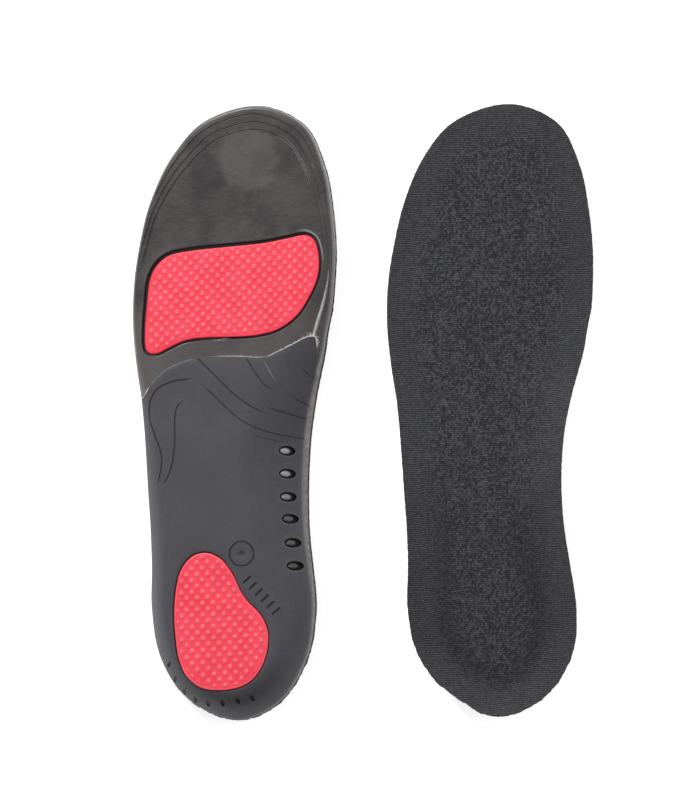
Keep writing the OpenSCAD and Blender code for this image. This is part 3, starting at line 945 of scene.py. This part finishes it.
def pad_gap(xy):
    """The dish round the ball pad as a share of its depth, and the height of the lip outside it."""
    dist, foot = nearest(xy, BALL_LOOP)
    out = np.where(inside(xy, BALL_LOOP), -dist, dist)
    wide = groove_width(foot)
    dish = smooth(out - wide, 0.3, -0.15)
    lip = LIP[1] * np.exp(-((out - wide - 0.75) / LIP[0]) ** 2)
    front_corner = smooth(xy[:, 0], 26, 35) * smooth(xy[:, 1], 194, 208)
    return dish, np.where(out > 0, lip, 0) * (0.2 + 0.8 * front_corner)


def ridge_height(xy, ridge):
    """The fold of film, thinner and lower towards its front end."""
    thin = 0.35 + 0.65 * smooth(xy[:, 1], 196, 176)
    d = nearest(xy, ridge, False)[0]
    bead = RIDGE_SIZE[1] * np.clip(1 - (d / (RIDGE_SIZE[0] * thin)) ** 2, 0, 1) ** 1.5
    return bead * smooth(xy[:, 1], 202, 186)


def border_flash(xy, front, tear):
    """Light torn film within a distance of the border, strongest at its inner corner and outer end."""
    corner = smooth(xy[:, 0], 28, 37)
    flash = smooth(front, (0.3 + 0.9 * tear) * (0.7 + 0.9 * corner), 0.05) * np.interp(xy[:, 0], *FLASH_ALONG)
    flash *= 1 - smooth(xy[:, 0], 33, 36) * smooth(xy[:, 1], 165.5, 162)
    return np.maximum(flash, smooth(front, 0.1 + 0.7 * tear, 0.05) * smooth(xy[:, 0], -34, -38))


def wall_painted_highlight(xy, line, half):
    """A painted highlight on the walls of a trim line, where it rounds the inner front of the toe."""
    painted_shine = smooth(np.abs(nearest(xy, line, False)[0] - WALL_TOP * half), 0.1, 0.03)
    return painted_shine * smooth(xy[:, 0], 16, 24) * smooth(xy[:, 0], 36, 30) * (xy[:, 1] > 235)


# Lines laid round the ball pad, by their distance out from it, that its gap and lip are shaped on
GAP_RINGS = (0, 0.4, 0.75, 0.95, 1.1, 1.25, 1.4, 1.6, 1.9, 2.3, 2.8)


def skin_mesh():
    under = shifted(BALL_LOOP, -1.0 * OUTWARD)
    lines = [shifted(SOLE_EDGE, o) for o in (0.15, 0.35, 0.7, WRAP, WRAP + 0.4)]
    lines += [shifted(BALL_LOOP, o * OUTWARD) for o in GAP_RINGS]
    lines += [shifted(BORDER_LINE, o, closed=False) for o in (0.12, 0.3, 0.6, 1.0)]
    half, deep = TRIM_LINE
    toe_lines = [trim_line(*t) for t in TRIM_LINES]
    for line in toe_lines:
        lines += across(line, half)
    ridge = line_through(RIDGE, 0.7)
    lines += [shifted(ridge, o, closed=False) for o in (-1, -0.75, -0.4, 0.001, 0.4, 0.75, 1)]
    walls = [(SOLE_EDGE, True), (under, True), (BORDER_LINE, False)]

    def keep(c):
        return inside(c, SOLE_EDGE) & ~inside(c, SHELL_REGION) & ~inside(c, under)

    xy, tris = plate(walls, lines, 1.5, keep)
    sole, top, _, _ = faces_at(xy)
    edge = nearest(xy, SOLE_EDGE)[0]
    front = nearest(xy, BORDER_LINE, False)[0]
    dish, lip = pad_gap(xy)
    cut = np.max([groove(xy, line, half, deep, reach=8.0) for line in toe_lines], axis=0)
    cut *= 1 - 0.5 * smooth(xy[:, 0], 14, 34)
    bead = ridge_height(xy, ridge)
    tear = ragged(xy)
    flash = border_flash(xy, front, tear)
    low = sole + cut + GROOVE_DEPTH * dish - lip - bead - 0.3 * flash + rounded(edge, 0.6)
    wrap = smooth(edge, WRAP + 0.4, WRAP) * smooth(xy[:, 1], 150, 156)
    high = np.maximum(sole + SOLE_T, low + 0.2)
    high = high + wrap * (top - COVER_T - high)
    # Torn film along the border, and painted highlights on the ridge, along the edge, on the lip outside the
    # pad's gap and on the innermost trim line
    wear_and_painted_light = np.max([
        flash * (0.5 + 0.5 * tear),
        (0.55 + 0.35 * tear) * bead / RIDGE_SIZE[1],
        0.25 * smooth(edge, 1.1, 0.1),
        0.35 * (lip / LIP[1]) ** 2,
        0.5 * wall_painted_highlight(xy, toe_lines[2], half),
    ], axis=0)
    shade = 0.45 * smooth(signed(xy, curve(DARK_PATCH, 6)), 0.5, -2)
    border_shadow = 0.7 * smooth(front, 0.9, 0.4) * smooth(xy[:, 0], -19, -16) * smooth(xy[:, 0], -4, -8)
    # Painted shade: in the trim lines, on the dish round the ball pad, in a patch at the toe, and as a shadow
    # beside the border
    dark = np.max([smooth(cut, 0.05, 0.34) * 0.6, smooth(dish, 0.15, 0.8), shade, border_shadow], axis=0)
    marks = {"wear_and_painted_light": np.tile(wear_and_painted_light, 2), "cut": np.tile(dark, 2), "painted_sheen": np.tile(painted_sheen_patch(xy), 2)}
    points, faces = closed_solid(tris, at(xy, low), at(xy, high))
    return points, faces, marks


# Outlines of a patch of painted light reflection and a patch of painted shade on the film at the toe
SHEEN_PATCH = [
    (-6.4, 251.5), (-6.4, 244), (-4.4, 237.4), (0.6, 233.2), (8.8, 231.8), (15.4, 235.5), (16.8, 238.5),
    (14.9, 240.7), (19.7, 243.6), (20.3, 246.5), (17.9, 250.2), (15.5, 256.7), (6.1, 259.5), (-2.9, 257.5),
]
DARK_PATCH = [
    (-16.2, 249.6), (-9.4, 247.5), (-7.1, 240.9), (-5, 235), (-7, 231), (-13.6, 234.2), (-20.4, 238.5),
    (-22.8, 245.1),
]
# How strongly light film flashes along the border: places across, and the share at each
FLASH_ALONG = [(-14, 4, 12, 15, 18, 24, 30, 35, 38), (0.2, 0.45, 0.4, 0.15, 0.5, 0.6, 0.8, 1.0, 1.0)]


def painted_sheen_patch(xy):
    """Where a painted light reflection lies on the film as a sheen: a lobed patch at the toe, and the strip
    behind the ball pad.
    """
    lobes = 1.2 * (ragged(0.3 * xy) - 0.5) + 0.7 * (ragged(0.8 * xy) - 0.5)
    d = signed(xy, curve(SHEEN_PATCH, 6)) + 1.6 * lobes
    behind = smooth(xy[:, 1], 186, 166) * (0.7 + 0.5 * smooth(xy[:, 0], -26, -36))
    return np.maximum(0.8 * smooth(d, 0.9, -1.2), behind)


# Size of the pads' raised dots
NUB_RADIUS = 0.76
NUB_HEIGHT = 0.66
# One raised dot's place and the two steps of its lattice; rows between stand half way
BALL_NUBS = ((2.1, 199.9), (4.66, 0.6), (-0.25, 4.6))
HEEL_NUBS = ((-7.4, 42.3), (4.8, 0.36), (-0.2, 5.15))


def nub_relief(xy, margin, nubs):
    """Raised dots on a centred lattice, where the margin allows them."""
    start, across, along = nubs
    basis = np.array([across, along])
    uv = (xy - np.array(start)) @ np.linalg.inv(basis)
    best = np.full(len(xy), 9.0)
    for off in (0.0, 0.5):
        r = (uv - off) - np.round(uv - off)
        best = np.minimum(best, np.linalg.norm(r @ basis, axis=1))
    return np.exp(-(best / NUB_RADIUS) ** 2) * smooth(margin, 1.0, 2.0)


def pad_mesh(loop, nubs, radius, paler=0.0):
    """A gel pad with rows of nubs; paler is how much lighter its rounded rim is painted, as a highlight, than
    its face.
    """
    rim = respaced(loop, 0.5, True)
    rings = [shifted(rim, -o * OUTWARD) for o in (0.1, 0.25, 0.45, 0.7, 1.0)]
    xy, tris = plate([(rim, True)], rings, 0.36, within(rim))
    d = nearest(xy, rim)[0]
    bump = nub_relief(xy, d, nubs)
    crown = 0.12 * smooth(d, 0, 9)
    low = PAD_SINK + 0.2 - crown + rounded(d, radius) - NUB_HEIGHT * bump
    points, faces = closed_solid(tris, at(xy, low), at(xy, np.full(len(xy), PAD_DEPTH)))
    # Painted highlight on the rounded rim, as strong as paler says
    painted_rim_highlight = paler * smooth(np.abs(d - 0.5), 0.4, 0.1)
    # The nubs' tips take the painted highlight; the rim's darker red is painted shade
    marks = {"painted_highlight": np.tile(np.maximum(bump, painted_rim_highlight), 2), "wear_and_painted_light": np.tile(smooth(d, 0.55, 0.0), 2)}
    return points, faces, marks


def pods_mesh():
    """Six domes that stand in the windows, each on a dish painted dark as shade that closes its window from
    behind.
    """
    all_points, all_faces, dome_shading, dark = [], [], [], []
    # (share of the dome's width, share of its height)
    profile = [(1.0, 0.0), (0.98, 0.22), (0.88, 0.52), (0.66, 0.8), (0.36, 0.95)]
    dish_size = (WINDOW_SIZE[0] + POD_RIM, WINDOW_SIZE[1] + POD_RIM)
    steps = 24
    dish_depth, dome_depth = 1.9, 1.5
    for i, c in enumerate(WINDOWS):
        base = len(all_points)
        centre = np.array([c[0] + POD_SHIFT, c[1]])
        loops = [(ellipse(c, dish_size, steps), SOLE_T + 0.9),
                 (ellipse(c, dish_size, steps), SOLE_T + 0.1),
                 (ellipse(c, WINDOW_SIZE, steps), SOLE_T + 0.3),
                 (ellipse((centre + c) / 2, np.array(POD_SIZE) + 0.5, steps), dish_depth - 0.2)]
        loops += [(ellipse(centre, np.array(POD_SIZE) * share, steps), dish_depth - 0.2 - dome_depth * rise)
                  for share, rise in profile]
        for loop, height in loops:
            all_points += np.c_[loop, faces_at(loop)[0] + height].tolist()
        all_points.append([*centre, faces_at(centre[None])[0][0] + dish_depth - 0.2 - dome_depth])
        rows = len(loops)
        for r in range(rows - 1):
            for k in range(steps):
                a, b = base + r * steps + k, base + r * steps + (k + 1) % steps
                all_faces.append((a, a + steps, b + steps, b))
        last, top = base + (rows - 1) * steps, base + rows * steps
        all_faces += [(last + k, top, last + (k + 1) % steps) for k in range(steps)]
        all_faces.append(tuple(range(base, base + steps)))
        dome_shading += [POD_SHADING[i]] * (rows * steps + 1)
        # Painted shade: the dishes and the domes' feet are marked to be painted dark
        dark += [1.0] * (4 * steps) + [0.7] * steps + [0.0] * ((len(profile) - 1) * steps + 1)
    return np.array(all_points), all_faces, {"tone": dome_shading, "cut": dark}


def outward_sign(loop):
    """+1 or -1, so that a positive shift of the pads' loops is outwards."""
    test = loop + normals_of(loop, True) * 0.1
    return -1.0 if inside(test, loop).mean() > 0.5 else 1.0


OUTWARD = outward_sign(BALL_LOOP)

# ---- The two insoles ----

# Each piece of one insole: mesh, material, slot, the CAD nodes that it replaces, and if it bends at the toe
PIECES = {
    "cover_sheet": (cover_mesh(), KNIT, "knit_cover", ("top_cover_rear", "top_cover_toe"), True),
    "foam_body": (foam_mesh(), FOAM, "foam", ("foam_bed_rear", "foam_bed_toe"), True),
    "shell_moulding": (shell_mesh(), SHELL, "shell", ("arch_heel_shell",), False),
    "skin_film": (skin_mesh(), SKIN, "forefoot_skin", ("forefoot_skin_rear", "forefoot_skin_toe"), True),
    "ball_gel": (pad_mesh(BALL_LOOP, BALL_NUBS, 0.55), GEL, "gel", ("forefoot_gel_pad",), True),
    "heel_gel": (pad_mesh(HEEL_LOOP, HEEL_NUBS, 0.6, paler=0.7), GEL, "gel", ("heel_gel_pad",), False),
    "window_pods": (pods_mesh(), POD, "pods", ("arch_pods",), False),
}

for side in ("left", "right"):
    for name, ((points, faces, marks), material, slot, nodes, bends) in PIECES.items():
        obj = piece(side, name, points, faces, material, marks)
        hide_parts(*[f"{side}_{n}" for n in nodes])
        if bends:
            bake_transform(obj)
        else:
            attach(obj, f"{side}_rear")

# ---- Floor, lights and camera ----

FLOOR_HALF = 3.0
bpy.ops.mesh.primitive_plane_add(size=2 * FLOOR_HALF, location=(0, 0, -0.0003))
floor = bpy.context.object
floor.name = "floor"
floor.data.materials.append(floor_material())


def softbox(name, place, size, power):
    light = bpy.data.lights.new(name, "AREA")
    light.shape = "RECTANGLE"
    light.size, light.size_y = size
    light.energy = power
    obj = bpy.data.objects.new(name, light)
    obj.location = place
    obj.rotation_euler = (Vector((0, 0, 0)) - Vector(place)).to_track_quat("-Z", "Y").to_euler()
    bpy.context.scene.collection.objects.link(obj)


softbox("key", (-0.95, 1.3, 1.2), (0.5, 0.5), 31)
softbox("fill", (1.4, 0.2, 1.1), (1.0, 1.0), 7)
world = bpy.data.worlds.new("studio")
world.use_nodes = True
world.node_tree.nodes["Background"].inputs[0].default_value = (1, 1, 1, 1)
world.node_tree.nodes["Background"].inputs[1].default_value = 0.42
bpy.context.scene.world = world

# The camera looks straight down from high up; the height of its view is in metres
CAMERA_HEIGHT = 10.0
VIEW_HEIGHT = 0.3524
VIEW_CENTRE = (-0.0091, 0.00505)
SENSOR = 36.0
camera = bpy.data.objects.new("camera", bpy.data.cameras.new("camera"))
camera.data.sensor_width = SENSOR
camera.data.lens = SENSOR * CAMERA_HEIGHT / VIEW_HEIGHT
camera.location = (*VIEW_CENTRE, CAMERA_HEIGHT)
bpy.context.scene.collection.objects.link(camera)
bpy.context.scene.camera = camera
bpy.context.scene.view_settings.view_transform = "Standard"
